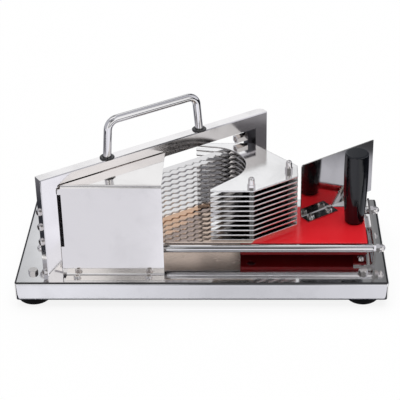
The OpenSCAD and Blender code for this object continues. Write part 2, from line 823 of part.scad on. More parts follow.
// Outline shared by the nose of the tray and of the pusher plates
module nose_outline(x0, y0, y1) {
  back_x = nose_x - (y1 - nose_y1) / tan(back_angle);
  front_x = nose_x - (nose_y0 - y0) / tan(frame_angle);
  polygon([[x0, y0], [front_x, y0], [nose_x, nose_y0], [nose_x, nose_y1], [back_x, y1], [x0, y1]]);
}

module stack_holes() {
  for (p = [front_bolt, nose_bolt]) translate(p) circle(d = screw_d + hole_fit);
}

module tomato_tray() {
  color(steel) on_deck() translate([0, 0, slab_top]) linear_extrude(tray_t) difference() {
    nose_outline(rail_x0 + travel + tray_end_gap, slab_y0, front_y + tray_rear);
    stack_holes();
  }
}

// Round notch with two straight flanks that open to the left
module notch_outline() {
  reach = base_w;
  front_touch = [notch_x + notch_r * sin(front_flank), notch_y - notch_r * cos(front_flank)];
  back_touch = [notch_x + notch_r * sin(back_flank), notch_y + notch_r * cos(back_flank)];
  translate([notch_x, notch_y]) circle(notch_r);
  polygon([
    [notch_x, notch_y],
    front_touch,
    front_touch + reach * [-cos(front_flank), -sin(front_flank)],
    back_touch + reach * [-cos(back_flank), sin(back_flank)],
    back_touch
  ]);
}

module plate_outline() {
  difference() {
    nose_outline(nose_x - back_arm, plate_y0, plate_y1);
    notch_outline();
    translate([nose_x - front_arm - base_l, plate_y0 - 1]) square([base_l, notch_y - plate_y0]);
    stack_holes();
  }
}

module pusher_plate(i) {
  color("lavender") on_deck() translate([0, 0, plate_z0 + (i - 1) * slice_t])
    linear_extrude(plate_t) plate_outline();
}

module plate_spacers() {
  color(steel) on_deck() for (i = [0 : blade_count - 1], p = [front_bolt, nose_bolt])
    translate([p[0], p[1], plate_z0 + i * slice_t + plate_t]) difference() {
      cylinder(d = spacer_d, h = slice_t - plate_t);
      translate([0, 0, -1]) cylinder(d = screw_d + hole_fit, h = slice_t + 2);
    }
}

module pusher_bolts() {
  color(steel) on_deck() for (p = [front_bolt, nose_bolt]) translate([p[0], p[1], slab_low + sink_h])
    mirror([0, 0, 1]) hex_bolt(screw_d, stack_nut_af, stack_bolt_l);
}

module cap_nuts() {
  color(steel) on_deck() for (p = [front_bolt, nose_bolt]) translate([p[0], p[1], stack_top])
    cap_nut(screw_d, stack_nut_af, stack_nut_h);
}

module grip() {
  color(black) on_deck() translate([grip_x, grip_y, slab_top]) difference() {
    rotate_extrude() grip_section();
    translate([0, 0, -eps]) cylinder(d = grip_bolt_d + hole_fit / 3, h = grip_bolt_in);
  }
}

// Radius of the grip at a height: it swells from the foot and narrows a little to the top
function grip_r(z) = let (
    low = z < grip_swell,
    end = low ? grip_foot_d : grip_top_d,
    u = (z - grip_swell) / (low ? grip_swell : grip_h - grip_swell)
  ) (grip_d - (grip_d - end) * u * u) / 2;

// Half section of the grip with a rounded rim and a flat end
module grip_section() {
  rim_z = grip_h - grip_rim;
  polygon(concat(
    [[0, 0], [grip_foot_d / 2 - grip_rim, 0]],
    [for (k = [0 : grip_rings]) let (z = grip_rim + k / grip_rings * (rim_z - grip_rim)) [grip_r(z), z]],
    [[0, rim_z]]
  ));
  translate([0, rim_z - eps]) square([grip_r(rim_z) - grip_rim, grip_rim + eps]);
  intersection() {
    translate([grip_r(rim_z) - grip_rim, rim_z]) circle(grip_rim);
    translate([grip_r(rim_z) - grip_rim - eps, rim_z - eps]) square(grip_rim + 1);
  }
}

module grip_bolt() {
  color(steel) on_deck() translate([grip_x, grip_y, slab_low + sink_h])
    mirror([0, 0, 1]) hex_bolt(grip_bolt_d, bolt_af + 3, slab_h - sink_h + grip_bolt_in - 1);
}

module hand_guard() {
  color(steel) in_shield() difference() {
    union() {
      mirror([0, 1, 0]) rotate([90, 0, 90]) linear_extrude(shield_foot_l)
        fold_section(shield_foot_w, shield_h / 2, sheet_t, bend_in);
      translate([0, -sheet_t, 0]) side_extrude(sheet_t) shield_outline();
    }
    for (p = shield_screws) translate([p[0], p[1], -1]) cylinder(d = screw_d + hole_fit, h = sheet_t + 2);
  }
}

// Upright face of the hand guard above its folded foot
module shield_outline() {
  rise = sheet_t + bend_in + 1;
  difference() {
    translate([0, shield_lift]) square([shield_l, shield_h - shield_lift]);
    translate([-1, 0]) square([1 + shield_foot_l, rise]);
    translate([3, shield_h - 3]) mirror([1, 0]) difference() {
      square(4);
      circle(3);
    }
  }
}

module hand_guard_screws() {
  color(steel) in_shield() for (p = shield_screws) translate([p[0], p[1], sheet_t])
    pan_screw(screw_d, screw_head_d, sheet_t + board_screw_in);
}

base_pan();
rubber_feet();
foot_bolts();
foot_nuts();
blade_frame();
frame_bolts();
left_blade_holder();
right_blade_holder();
left_blade_pin();
right_blade_pin();
tension_screws();
post_lock_screw();
holder_studs();
holder_nuts();
for (i = [1 : blade_count]) slicing_blade(i);
carry_handle();
handle_collars();
handle_screws();
entry_guard();
guard_screws();
front_rail();
rear_rail();
left_rail_bracket();
right_rail_bracket();
bracket_bolts();
rail_nuts();
carriage();
tomato_tray();
for (i = [1 : plate_count]) pusher_plate(i);
plate_spacers();
pusher_bolts();
cap_nuts();
grip();
grip_bolt();
hand_guard();
hand_guard_screws();
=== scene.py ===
"""Looks of a hand-pushed tomato slicer, built around its packed CAD frame."""

import json
import math
from functools import partial

import bmesh
import bpy
from bpy.props import FloatProperty, FloatVectorProperty, IntProperty, PointerProperty
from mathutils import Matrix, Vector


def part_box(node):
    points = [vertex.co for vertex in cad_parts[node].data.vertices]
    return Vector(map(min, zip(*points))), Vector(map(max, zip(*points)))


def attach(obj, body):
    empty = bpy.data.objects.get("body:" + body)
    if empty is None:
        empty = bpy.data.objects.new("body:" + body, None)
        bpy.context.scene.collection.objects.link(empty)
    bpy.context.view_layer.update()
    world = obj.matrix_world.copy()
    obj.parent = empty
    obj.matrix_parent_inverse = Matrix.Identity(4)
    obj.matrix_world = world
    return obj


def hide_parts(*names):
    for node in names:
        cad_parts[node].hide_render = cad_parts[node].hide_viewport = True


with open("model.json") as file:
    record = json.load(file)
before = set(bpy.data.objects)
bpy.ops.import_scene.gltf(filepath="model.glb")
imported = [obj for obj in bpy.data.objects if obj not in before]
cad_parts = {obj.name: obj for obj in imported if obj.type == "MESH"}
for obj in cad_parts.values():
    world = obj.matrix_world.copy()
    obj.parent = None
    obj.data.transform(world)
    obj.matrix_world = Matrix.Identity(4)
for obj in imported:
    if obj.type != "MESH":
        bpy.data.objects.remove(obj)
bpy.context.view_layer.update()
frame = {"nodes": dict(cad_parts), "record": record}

bl_info = {
    "name": "Tomato slicer looks",
    "version": (1, 0, 0),
    "blender": (4, 5, 0),
    "location": "3D View > Sidebar > Slicer",
    "description": "Steel, plastic and rubber finishes of a hand-pushed tomato slicer",
    "category": "Object",
}

NODES = frame["nodes"]
MM = 0.001


def numbered(prefix):
    """Names of the CAD nodes that share a prefix and end in a number, in order."""
    found = [n for n in NODES if n.startswith(prefix) and n[len(prefix):].isdigit()]
    return sorted(found, key=lambda n: int(n[len(prefix):]))


BLADES = numbered("slicing_blade_")
PLATES = numbered("pusher_plate_")

# Place of the blade frame, and of the blades along it, as in the CAD source
FRAME_TURN = math.radians(34.4)
FRAME_CORNER = (-0.1755, -0.089)
BLADE_START = 20.9 * MM
BLADE_INSET = 0.5 * MM
BLADE_LENGTH = 265.735 * MM
BLADE_WIDTH = 12.0 * MM

# Detail of the blades' mesh; a section's first point comes again at its end
SECTION_POINTS = 7
STATIONS_PER_SCALLOP = 12
SHARP_DEG = 8.0
WELD = 1e-6

# Turns that lay the polishing lines along a piece
ALONG_X = (0.0, 0.0, 0.0)
ALONG_Y = (0.0, 0.0, math.radians(90.0))
ALONG_Z = (0.0, math.radians(90.0), 0.0)
ALONG_FRAME = (0.0, 0.0, -FRAME_TURN)

# Roughness of each finish, at its smoothest and at its roughest
ROUGHNESS = {
    "Polished sheet": (0.05, 0.12),
    "Hand guard sheet": (0.05, 0.12),
    "Tray sheet": (0.02, 0.06),
    "Pan sheet": (0.05, 0.12),
    "Polished bar": (0.06, 0.14),
    "Bracket steel": (0.05, 0.11),
    "Dark holder": (0.22, 0.36),
    "Bright rail": (0.04, 0.09),
    "Bright handle": (0.03, 0.08),
    "Dark collar": (0.20, 0.32),
    "Spacer tube": (0.16, 0.26),
    "Blade steel": (0.05, 0.11),
    "Pusher plate": (0.07, 0.13),
    "Fastener steel": (0.10, 0.22),
    "Polished nut": (0.03, 0.08),
    "Red board": (0.16, 0.30),
    "Black grip": (0.08, 0.14),
    "Rubber": (0.55, 0.75),
}

# Relief of the polishing lines and of the moulded grain, and samples of a rounded edge
LINE_DEPTH = 0.01 * MM
LINE_RELIEF = 0.06
GRAIN_DEPTH = 0.06 * MM
EDGE_SAMPLES = 6

# Share of a steel's colour that stays under a handling mark
HAZY = 0.94

# Upward shares of the normal between which a face turns from upright to level
LEVEL = (0.4, 0.7)

# Room that the metal mirrors: floor, walls, ceiling, and the level of the cards on the floor
FLOOR_SIZE = 12.0
ROOM_LEFT, ROOM_RIGHT = -1.8, 1.8
ROOM_FRONT, ROOM_BACK = -2.4, 1.72
ROOM_HIGH = 2.6
CARD_Z = 0.003

# Where the cards on the floor meet, outwards from the object along x
NEAR_LEFT, NEAR_RIGHT = -0.26, 0.25
MID_LEFT, MID_RIGHT = -0.32, 0.28
FAR_LEFT, FAR_RIGHT = -0.50, 0.46
POST_X = 0.09

# Where they meet along y, from the front to the back
CORNER_Y = -0.42
SKIRT_Y = -0.142
SEAM_Y = -0.111
EDGE_Y = -0.098
GAP_Y = -0.09
SIDE_Y = -0.045
GUARD_Y = 0.06
REAR_Y = 0.10
BEHIND_Y = 0.24

# Heights and places where the walls and the ceiling change
SILL, LINTEL = 0.35, 1.70
FRONT_SPLIT = 1.30
PANEL_LOW, PANEL_HIGH = 0.80, 1.40
CEILING_X = 0.4

# Cool whites of the card before the pan's skirt and of the back panel
SKIRT_WHITE = (0.97, 0.98, 1.05)
PANEL_WHITE = (0.98, 1.0, 1.03)


# Sizes and colours that a user would change


def colour(name, text, default):
    """A colour property."""
    return FloatVectorProperty(
        name=name, description=text, subtype="COLOR", size=3, min=0.0, max=1.0, default=default
    )


def share(name, text, default):
    """A property from 0 to 1."""
    return FloatProperty(name=name, description=text, subtype="FACTOR", min=0.0, max=1.0, default=default)


def length(name, text, default):
    """A length in metres."""
    return FloatProperty(name=name, description=text, unit="LENGTH", min=0.0, precision=5, default=default)


def angle(name, text, degrees):
    """An angle, given in degrees."""
    return FloatProperty(name=name, description=text, subtype="ANGLE", default=math.radians(degrees))


class SlicerSteel(bpy.types.PropertyGroup):
    """Finishes of the stainless pieces"""

    sheet: colour("Sheet", "Colour of the polished sheet", (0.90, 0.87, 0.845))
    # Painted shade: the hand guard's steel is made darker than the other sheet, so that the red board it
    # mirrors looks shaded by the grip and the guard
    guard: colour("Hand guard", "Colour of the hand guard", (0.594, 0.574, 0.558))
    pan: colour("Pan", "Colour of the base pan's sheet", (0.82, 0.81, 0.81))
    # Partly real, partly painted reflection: stainless steel reflects a little warm, and this tint is pushed
    # on to tan so that the tray's mirror images come out tan
    tray: colour("Tray", "Colour of the tray's sheet, which is warmer", (0.92, 0.76, 0.64))
    bar: colour("Bar", "Colour of the frame's bars and brackets", (0.92, 0.89, 0.875))
    rod: colour("Rod", "Colour of the rails and the carry handle", (0.90, 0.88, 0.865))
    collar: share("Collar", "Share of the rods' colour on the handle's collars", 0.10)
    # Painted shade: the spacers are made dark because they stand in the shaded gaps between the plates
    spacer_shade: share("Spacer", "Share of the rods' colour on the spacers", 0.22)
    blade: colour("Blade", "Colour of the blades", (0.76, 0.74, 0.73))
    # Painted shade: the very edge of each blade is made near black to stand in for the shadowed gap under it
    shaded_lip: colour("Lip", "Colour of the blades' ground edge", (0.06, 0.06, 0.07))
    plate: colour("Plate", "Colour of the pusher plates", (0.92, 0.90, 0.885))
    # Painted shade: the plates' undersides are made darker so that the gaps between the plates look dark
    underside_shade: share("Underside finish", "Share of the plates' colour on their undersides", 0.45)
    fastener: colour("Fastener", "Colour of screws and bolts", (0.72, 0.69, 0.67))
    nut: colour("Nut", "Colour of the polished nuts", (0.8784, 0.8418, 0.8174))
    holder: colour("Holder", "Colour of the bars that hold the blades' ends", (0.10, 0.10, 0.11))
    hairline: length("Hairline", "Length of one polishing line", 0.030)
    hairline_gap: length("Hairline gap", "Distance between polishing lines", 0.0006)
    smear: length("Smear", "Size of a handling mark", 0.045)
    edge: length("Edge", "Radius of the softened edges", 0.0010)


class SlicerPlastic(bpy.types.PropertyGroup):
    """Finishes of the moulded pieces and the rubber"""

    carriage: colour("Carriage", "Colour of the slide board", (0.74, 0.014, 0.022))
    grip: colour("Grip", "Colour of the grip", (0.004, 0.005, 0.008))
    rubber: colour("Rubber", "Colour of the feet", (0.003, 0.003, 0.004))
    gloss: share("Rubber gloss", "How strongly the feet mirror", 0.12)
    grain: length("Grain", "Size of the moulded surface's grain", 0.0008)
    edge: length("Edge", "Radius of the softened edges", 0.0016)


class SlicerBlades(bpy.types.PropertyGroup):
    """Shape of the scalloped blades"""

    count: IntProperty(name="Count", description="Number of blades", min=1, default=len(BLADES))
    pitch: length("Scallop pitch", "Length of one scallop along the edge", 0.0104)
    depth: length("Scallop depth", "Depth of the scallops", 0.0026)
    ground: length("Ground width", "Width of the ground edge", 0.0024)
    land: length("Edge thickness", "Thickness left at the very edge", 0.00012)
    plain: length("Plain end", "Length of plain edge before the first scallop", 0.0100)


class SlicerStage(bpy.types.PropertyGroup):
    """Floor, light and camera"""

    glow: share("Glow", "Share of the floor's white that no shadow takes", 0.88)
    bounce: share("Bounce", "Share of light that the floor throws back on the object", 0.22)
    fill: FloatProperty(name="Fill", description="Strength of the white surroundings", min=0.0, default=0.16)
    key: FloatProperty(name="Key", description="Strength of the soft overhead light", min=0.0, default=2.6)
    softness: angle("Softness", "Angle over which the overhead light spreads", 70.0)
    card: colour("Card", "Colour of the pale cards", (0.75, 0.76, 0.83))
    near: share("Near card", "Share of the pale cards' tone close to the object's left end", 0.88)
    side: colour("Side", "Colour of the grey cards and walls", (0.46, 0.47, 0.52))
    dim: share("Dim", "Share of the grey cards' tone on the dim ones", 0.6)
    wall: colour("Wall", "Colour of the dark grey cards", (0.16, 0.16, 0.18))
    flag: colour("Flag", "Colour of the dark cloths", (0.03, 0.032, 0.04))
    sky: colour("Sky", "Colour of the bright walls and ceiling", (0.94, 0.95, 0.98))
    matt: share("Matt", "Tone that the cards show to light that matt surfaces scattered", 0.16)
    eye: FloatVectorProperty(
        name="Eye", description="Place of the camera", subtype="TRANSLATION", unit="LENGTH", size=3,
        default=(0.0527, -1.3637, 0.8776),
    )
    tilt: angle("Tilt", "Angle between the view and straight down", 59.912)
    shift: FloatProperty(name="Shift", description="Sideways shift of the view, by its width", default=-0.119)
    lens: FloatProperty(name="Lens", description="Focal length", unit="CAMERA", min=1.0, default=119.67)
    sensor: FloatProperty(name="Sensor", description="Sensor width", unit="CAMERA", min=1.0, default=36.0)


GROUPS = {
    "slicer_steel": SlicerSteel,
    "slicer_plastic": SlicerPlastic,
    "slicer_blades": SlicerBlades,
    "slicer_stage": SlicerStage,
}


def shaded(tone, amount):
    """A tone made darker or lighter."""
    return tuple(c * amount for c in tone)


def fade(tone, stops):
    """Places with tones, from places with shares of one tone."""
    return [(place, shaded(tone, amount)) for place, amount in stops]


# Node helpers


def link(tree, source, target):
    """Joins two sockets."""
    tree.links.new(source, target)


def feed(tree, value, target):
    """Joins a socket to an input, or sets the input to a number or a colour."""
    if isinstance(value, bpy.types.NodeSocket):
        link(tree, value, target)
    elif target.type == "RGBA":
        target.default_value = (*value, 1.0)
    else:
        target.default_value = value


def node(tree, kind, **values):
    """A node with its own settings, and with inputs set by name."""
    made = tree.nodes.new(kind)
    inputs = values.pop("inputs", {})
    for name, value in values.items():
        setattr(made, name, value)
    for name, value in inputs.items():
        made.inputs[name].default_value = value
    return made


def math_node(tree, operation, *operands):
    """A math node; an operand is a socket or a number. Returns its output."""
    made = node(tree, "ShaderNodeMath", operation=operation)
    for value, target in zip(operands, made.inputs):
        feed(tree, value, target)
    return made.outputs[0]


def map_range(tree, value, low, high, start=0.0, stop=1.0, curve="LINEAR"):
    """A value that runs from low to high while another runs from start to stop."""
    made = node(
        tree, "ShaderNodeMapRange", interpolation_type=curve,
        inputs={"From Min": start, "From Max": stop, "To Min": low, "To Max": high},
    )
    link(tree, value, made.inputs["Value"])
    return made.outputs["Result"]


# Numbers of the Mix node's two inputs and its output, which differ by data type
MIX_SOCKETS = {"VECTOR": (4, 5, 1), "RGBA": (6, 7, 2)}


def mix(tree, amount, first, second, kind="RGBA", blend="MIX"):
    """A colour or vector between two, by a share. Returns its output."""
    made = node(tree, "ShaderNodeMix", data_type=kind, blend_type=blend)
    first_at, second_at, result_at = MIX_SOCKETS[kind]
    for value, place in ((amount, 0), (first, first_at), (second, second_at)):
        feed(tree, value, made.inputs[place])
    return made.outputs[result_at]


def vector_of(tree, **axes):
    """A vector from sockets for some or all of its axes."""
    made = node(tree, "ShaderNodeCombineXYZ")
    for axis, value in axes.items():
        link(tree, value, made.inputs[axis])
    return made.outputs[0]


def socket(tree, name, kind, default=None, way="INPUT"):
    """A socket on a node group."""
    made = tree.interface.new_socket(name=name, in_out=way, socket_type=kind)
    if default is not None:
        made.default_value = default


def shader_group(name, inputs, outputs):
    """A new shader node group with its two end nodes."""
    tree = bpy.data.node_groups.new(name, "ShaderNodeTree")
    for label, kind, default in inputs:
        socket(tree, label, kind, default)
    for label in outputs:
        socket(tree, label, "NodeSocketFloat", way="OUTPUT")
    return tree, node(tree, "NodeGroupInput"), node(tree, "NodeGroupOutput")


def hairline_group():
    """Fine polishing lines that run along x."""
    tree, start, end = shader_group(
        "Hairlines",
        [
            ("Vector", "NodeSocketVector", None),
            ("Length", "NodeSocketFloat", 0.03),
            ("Gap", "NodeSocketFloat", 0.0006),
        ],
        ["Lines"],
    )
    along = math_node(tree, "DIVIDE", 1.0, start.outputs["Length"])
    across = math_node(tree, "DIVIDE", 1.0, start.outputs["Gap"])
    stretched = node(tree, "ShaderNodeVectorMath", operation="MULTIPLY")
    link(tree, start.outputs["Vector"], stretched.inputs[0])
    link(tree, vector_of(tree, X=along, Y=across, Z=across), stretched.inputs[1])
    noise = node(tree, "ShaderNodeTexNoise", inputs={"Scale": 1.0, "Detail": 3.0, "Roughness": 0.65})
    link(tree, stretched.outputs[0], noise.inputs["Vector"])
    link(tree, noise.outputs["Fac"], end.inputs["Lines"])
    return tree


def smear_group():
    """Soft handling marks and haze, from 0 on clean metal to 1."""
    tree, start, end = shader_group(
        "Handling marks",
        [("Vector", "NodeSocketVector", None), ("Size", "NodeSocketFloat", 0.045)],
        ["Smear"],
    )
    scale = math_node(tree, "DIVIDE", 1.0, start.outputs["Size"])
    noise = node(tree, "ShaderNodeTexNoise", inputs={"Detail": 4.0, "Roughness": 0.6, "Distortion": 0.6})
    link(tree, start.outputs["Vector"], noise.inputs["Vector"])
    link(tree, scale, noise.inputs["Scale"])
    smear = map_range(tree, noise.outputs["Fac"], 0.0, 1.0, start=0.42, stop=0.72, curve="SMOOTHSTEP")
    link(tree, smear, end.inputs["Smear"])
    return tree


def grain_group():
    """Fine moulded grain of plastic and rubber."""
    tree, start, end = shader_group(
        "Moulded grain",
        [("Vector", "NodeSocketVector", None), ("Size", "NodeSocketFloat", 0.0008)],
        ["Grain", "Cloud"],
    )
    scale = math_node(tree, "DIVIDE", 1.0, start.outputs["Size"])
    fine = node(tree, "ShaderNodeTexNoise", inputs={"Detail": 2.0, "Roughness": 0.5})
    cloud = node(tree, "ShaderNodeTexNoise", inputs={"Scale": 38.0, "Detail": 3.0, "Roughness": 0.55})
    for noise in (fine, cloud):
        link(tree, start.outputs["Vector"], noise.inputs["Vector"])
    link(tree, scale, fine.inputs["Scale"])
    link(tree, fine.outputs["Fac"], end.inputs["Grain"])
    link(tree, cloud.outputs["Fac"], end.inputs["Cloud"])
    return tree


def shared_group(name):
    """One of the shared effects, built on first use."""
    makers = {"Hairlines": hairline_group, "Handling marks": smear_group, "Moulded grain": grain_group}
    return bpy.data.node_groups.get(name) or makers[name]()


def effect(tree, name, vector, **inputs):
    """A shared effect placed in a material."""
    made = node(tree, "ShaderNodeGroup", node_tree=shared_group(name), inputs=inputs)
    link(tree, vector, made.inputs["Vector"])
    return made


# Material helpers


def shader_of(mat):
    """A material's Principled shader."""
    return mat.node_tree.nodes["Principled BSDF"]


def plain_material(name):
    """A material, its tree and its Principled shader."""
    mat = bpy.data.materials.new(name)
    mat.use_nodes = True
    return mat, mat.node_tree, shader_of(mat)


def turned_place(tree, turn):
    """The object's own coordinates, turned."""
    place = node(tree, "ShaderNodeTexCoord")
    turned = node(tree, "ShaderNodeMapping", vector_type="POINT", inputs={"Rotation": turn})
    link(tree, place.outputs["Object"], turned.inputs["Vector"])
    return turned.outputs["Vector"]


def bump(tree, shader, height, distance, strength, edge=0.0):
    """Fine relief on a surface, and corners that are softly rounded."""
    made = node(tree, "ShaderNodeBump", inputs={"Strength": strength, "Distance": distance})
    link(tree, height, made.inputs["Height"])
    if edge:
        soft = node(tree, "ShaderNodeBevel", samples=EDGE_SAMPLES, inputs={"Radius": edge})
        link(tree, soft.outputs["Normal"], made.inputs["Normal"])
    link(tree, made.outputs["Normal"], shader.inputs["Normal"])


def steel(name, tint, turn=ALONG_X, haze=0.05, edge=0.0):
    """Stainless steel: polishing lines between two roughnesses, with handling marks."""
    sizes = bpy.context.scene.slicer_steel
    mat, tree, shader = plain_material(name)
    vector = turned_place(tree, turn)
    shader.inputs["Metallic"].default_value = 1.0
    lines = effect(tree, "Hairlines", vector, Length=sizes.hairline, Gap=sizes.hairline_gap)
    marks = effect(tree, "Handling marks", vector, Size=sizes.smear)
    polish = map_range(tree, lines.outputs["Lines"], *ROUGHNESS[name])
    dull = math_node(tree, "MULTIPLY", marks.outputs["Smear"], haze)
    link(tree, math_node(tree, "ADD", polish, dull), shader.inputs["Roughness"])
    tinted = mix(tree, marks.outputs["Smear"], tint, shaded(tint, HAZY))
    link(tree, tinted, shader.inputs["Base Color"])
    bump(tree, shader, lines.outputs["Lines"], LINE_DEPTH, LINE_RELIEF, edge)
    return mat


def moulded(name, tint, relief, lighter, lift=0.0, edge=0.0):
    """Moulded plastic or rubber: a cloudy colour with lighter parts, and fine grain."""
    mat, tree, shader = plain_material(name)
    vector = turned_place(tree, ALONG_X)
    grain = effect(tree, "Moulded grain", vector, Size=bpy.context.scene.slicer_plastic.grain)
    light = tuple(min(1.0, c * lighter + lift) for c in tint)
    link(tree, mix(tree, grain.outputs["Cloud"], tint, light), shader.inputs["Base Color"])
    link(tree, map_range(tree, grain.outputs["Cloud"], *ROUGHNESS[name]), shader.inputs["Roughness"])
    bump(tree, shader, grain.outputs["Grain"], GRAIN_DEPTH, relief, edge)
    return mat


def source_of(shader, name):
    """The socket that feeds one of a shader's inputs."""
    return shader.inputs[name].links[0].from_socket


def shade_by(mat, amount):
    """Multiplies a finish's colour by a share."""
    tree, shader = mat.node_tree, shader_of(mat)
    toned = mix(tree, 1.0, source_of(shader, "Base Color"), amount, blend="MULTIPLY")
    link(tree, toned, shader.inputs["Base Color"])


def roughen(mat, extra):
    """Adds to a finish's roughness."""
    tree, shader = mat.node_tree, shader_of(mat)
    rough = math_node(tree, "ADD", source_of(shader, "Roughness"), extra)
    link(tree, rough, shader.inputs["Roughness"])


def upward(tree):
    """How far a face looks up, from -1 to 1."""
    facing = node(tree, "ShaderNodeNewGeometry")
    split = node(tree, "ShaderNodeSeparateXYZ")
    link(tree, facing.outputs["Normal"], split.inputs[0])
    return split.outputs["Z"]


def dress(mat, *names):
    """Gives CAD nodes a finish."""
    for name in names:
        data = NODES[name].data
        data.materials.clear()
        data.materials.append(mat)


# Mesh helpers


def add_piece(name, mesh, body):
    """A finished mesh as a piece that rides on a body."""
    piece = bpy.data.objects.new(name, mesh)
    bpy.context.scene.collection.objects.link(piece)
    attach(piece, body)
    return piece


def clean_mesh(mesh, sharp_deg):
    """Merges doubles, points the faces outwards and marks the sharp edges."""
    work = bmesh.new()
    work.from_mesh(mesh)
    bmesh.ops.remove_doubles(work, verts=work.verts, dist=WELD)
    bmesh.ops.recalc_face_normals(work, faces=work.faces)
    work.to_mesh(mesh)
    work.free()
    mesh.shade_smooth()
    mesh.set_sharp_from_angle(angle=math.radians(sharp_deg))


def mesh_from_tree(tree, values, name):
    """Runs a geometry tree on an empty mesh and returns the plain result."""
    holder = bpy.data.objects.new(name + "_source", bpy.data.meshes.new(name + "_source"))
    bpy.context.scene.collection.objects.link(holder)
    modifier = holder.modifiers.new("Build", "NODES")
    modifier.node_group = tree
    for item in tree.interface.items_tree:
        if item.item_type == "SOCKET" and item.in_out == "INPUT" and item.name in values:
            modifier[item.identifier] = values[item.name]
    graph = bpy.context.evaluated_depsgraph_get()
    mesh = bpy.data.meshes.new_from_object(holder.evaluated_get(graph), depsgraph=graph)
    mesh.name = name
    source = holder.data
    holder.modifiers.clear()
    bpy.data.objects.remove(holder)
    bpy.data.meshes.remove(source)
    if not mesh.polygons:
        raise RuntimeError(f"the tree for {name} made no faces")
    return mesh


# Geometry tree of the blades


def scalloped_edge(tree, given, x):
    """Height of the scalloped edge at a place along a blade."""
    calc = partial(math_node, tree)
    pitch = given["Pitch"]
    first = calc("SUBTRACT", x, given["Plain"])
    quarter = calc("DIVIDE", pitch, 4.0)
    room = calc("SUBTRACT", given["Length"], calc("MULTIPLY", given["Plain"], 2.0))
    whole = calc("MULTIPLY", calc("FLOOR", calc("DIVIDE", room, pitch)), pitch)
    after = calc("GREATER_THAN", first, calc("MULTIPLY", quarter, -1.0))
    before = calc("LESS_THAN", first, calc("ADD", whole, quarter))
    wave = calc("COSINE", calc("MULTIPLY", calc("DIVIDE", first, pitch), 2.0 * math.pi))
    masked = calc("MULTIPLY", calc("MULTIPLY", wave, after), before)
    half_depth = calc("DIVIDE", given["Depth"], 2.0)
    return calc("SUBTRACT", half_depth, calc("MULTIPLY", masked, half_depth))


def one_blade(tree, given):
    """A flat blade along x with a ground, scalloped edge, whose two edge points are marked for painted shade.
    """
    calc = partial(math_node, tree)
    sheet = node(
        tree, "GeometryNodeMeshGrid", inputs={"Size X": 1.0, "Size Y": 1.0, "Vertices Y": SECTION_POINTS}
    )
    link(tree, given["Stations"], sheet.inputs["Vertices X"])
    index = node(tree, "GeometryNodeInputIndex").outputs[0]
    station = calc("FLOOR", calc("DIVIDE", index, SECTION_POINTS))
    row = calc("SUBTRACT", index, calc("MULTIPLY", station, SECTION_POINTS))

    # The first and the last station close the ends, so they share their neighbours' place
    inner = calc("SUBTRACT", station, 1.0)
    inner_last = calc("SUBTRACT", given["Stations"], 3.0)
    along = calc("MINIMUM", calc("MAXIMUM", calc("DIVIDE", inner, inner_last), 0.0), 1.0)
    x = calc("MULTIPLY", along, given["Length"])

    edge = scalloped_edge(tree, given, x)
    shoulder = calc("ADD", edge, given["Ground"])
    spine = given["Width"]
    half = calc("DIVIDE", given["Thickness"], 2.0)
    land = calc("DIVIDE", given["Land"], 2.0)
    low_half = calc("MULTIPLY", half, -1.0)
    low_land = calc("MULTIPLY", land, -1.0)
    section = (
        (spine, low_half),
        (spine, half),
        (shoulder, half),
        (edge, land),
        (edge, low_land),
        (shoulder, low_half),
        (spine, low_half),
    )
    choose = node(tree, "GeometryNodeIndexSwitch", data_type="VECTOR")
    while len(choose.index_switch_items) < SECTION_POINTS:
        choose.index_switch_items.new()
    link(tree, row, choose.inputs["Index"])
    for target, (y, z) in zip(choose.inputs[1:], section):
        link(tree, vector_of(tree, X=x, Y=y, Z=z), target)
    middle = vector_of(tree, X=x, Y=calc("MULTIPLY", calc("ADD", spine, shoulder), 0.5))
    outer = calc("SUBTRACT", given["Stations"], 1.5)
    closing = calc("MAXIMUM", calc("LESS_THAN", station, 0.5), calc("GREATER_THAN", station, outer))
    shape = node(tree, "GeometryNodeSetPosition")
    link(tree, sheet.outputs["Mesh"], shape.inputs["Geometry"])
    link(tree, mix(tree, closing, choose.outputs[0], middle, kind="VECTOR"), shape.inputs["Position"])

    # The section's two points at the very edge are marked, where the blade gets painted shade
    at_edge = calc("MULTIPLY", calc("GREATER_THAN", row, 2.5), calc("LESS_THAN", row, 4.5))
    shaded_lip = node(
        tree, "GeometryNodeStoreNamedAttribute", data_type="FLOAT", domain="POINT", inputs={"Name": "Lip"}
    )
    link(tree, shape.outputs["Geometry"], shaded_lip.inputs["Geometry"])
    link(tree, at_edge, shaded_lip.inputs["Value"])
    closed = node(tree, "GeometryNodeMergeByDistance", inputs={"Distance": WELD})
    link(tree, shaded_lip.outputs["Geometry"], closed.inputs["Geometry"])
    return closed.outputs["Geometry"]


def stacked(tree, given, blade):
    """Copies of a blade one above another, put in place, made real and finished."""
    stack = node(tree, "GeometryNodeMeshLine", mode="OFFSET")
    link(tree, given["Count"], stack.inputs["Count"])
    link(tree, vector_of(tree, Z=given["Spacing"]), stack.inputs["Offset"])
    copies = node(tree, "GeometryNodeInstanceOnPoints")
    link(tree, stack.outputs["Mesh"], copies.inputs["Points"])
    link(tree, blade, copies.inputs["Instance"])
    placed = node(tree, "GeometryNodeTransform")
    link(tree, copies.outputs["Instances"], placed.inputs["Geometry"])
    link(tree, given["Place"], placed.inputs["Translation"])
    link(tree, given["Turn"], placed.inputs["Rotation"])
    real = node(tree, "GeometryNodeRealizeInstances")
    link(tree, placed.outputs["Geometry"], real.inputs["Geometry"])
    finish = node(tree, "GeometryNodeSetMaterial")
    link(tree, real.outputs["Geometry"], finish.inputs["Geometry"])
    link(tree, given["Material"], finish.inputs["Material"])
    return finish.outputs["Geometry"]


